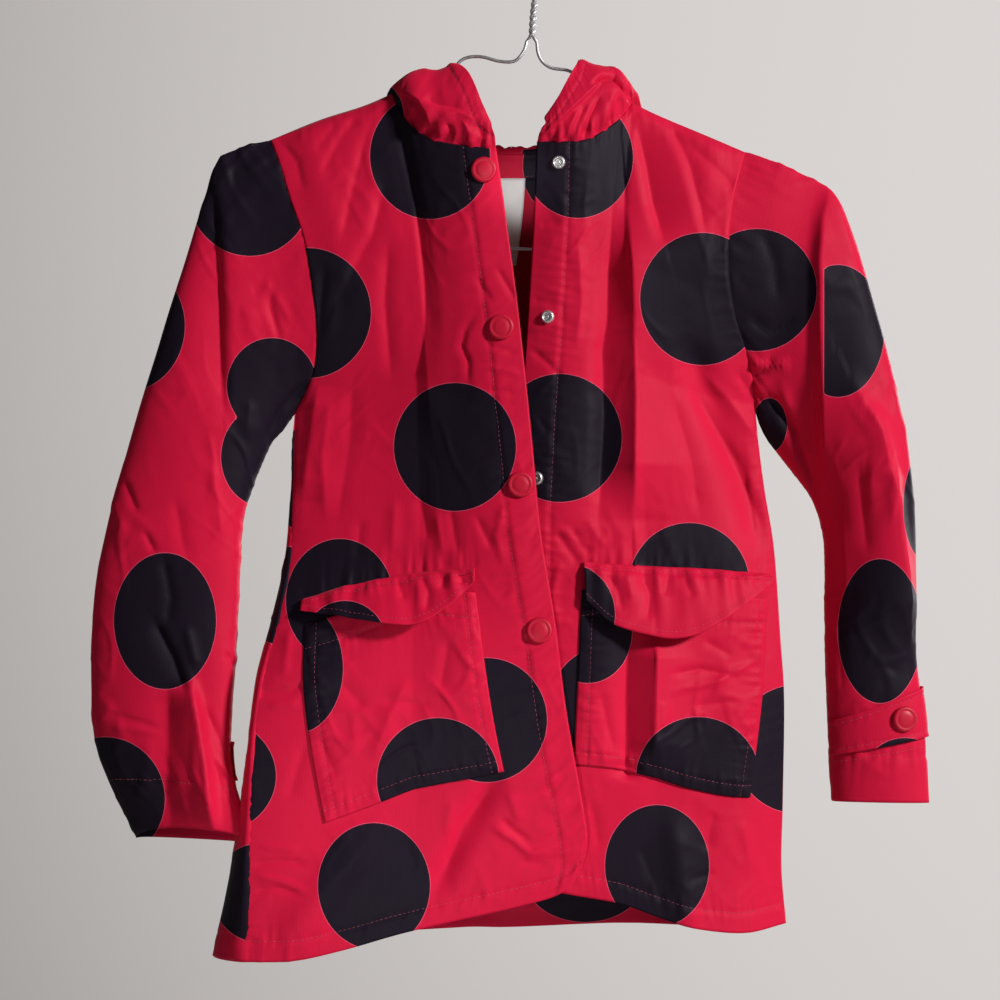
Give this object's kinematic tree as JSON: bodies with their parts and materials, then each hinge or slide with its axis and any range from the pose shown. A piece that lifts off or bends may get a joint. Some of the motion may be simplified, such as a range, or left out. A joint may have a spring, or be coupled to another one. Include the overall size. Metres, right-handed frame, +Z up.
{
  "type": "hooded raincoat on wire hanger",
  "caption": "Child's hooded rain coat on a wire hanger, neck open, with patch pockets and flaps, cuff tabs, snap fasteners and a hood hanging behind; open at hem and cuffs.",
  "frame": {"origin": "the inner top of the hook, where a rail bears", "axes": "+Z up, +X to the wearer's left (the viewer's right), the coat's front faces -Y"},
  "size_m": [0.5415, 0.1261, 0.6785],
  "materials": {
    "nylon": "plain-woven coated nylon, red with large dark navy dots, slight sheen",
    "label": "white satin tape, blank",
    "enamel": "glossy red enamel",
    "bright_metal": "bright plated",
    "steel_wire": "dull galvanised wire"
  },
  "bodies": {
    "root": {"front_r": "nylon", "front_l": "nylon", "back": "nylon", "neck_band": "nylon", "sleeve_r": "nylon", "sleeve_l": "nylon", "hood_r": "nylon", "hood_l": "nylon", "pocket_r": "nylon", "pocket_l": "nylon", "flap_r": "nylon", "flap_l": "nylon", "tab_r": "nylon", "tab_l": "nylon", "label": "label", "cap_1": "enamel", "cap_2": "enamel", "cap_3": "enamel", "cap_4": "enamel", "cuff_cap_r": "enamel", "cuff_cap_l": "enamel", "stud_1": "bright_metal", "stud_2": "bright_metal", "stud_3": "bright_metal", "stud_4": "bright_metal", "hanger": "steel_wire"}
  },
  "joints": []
}
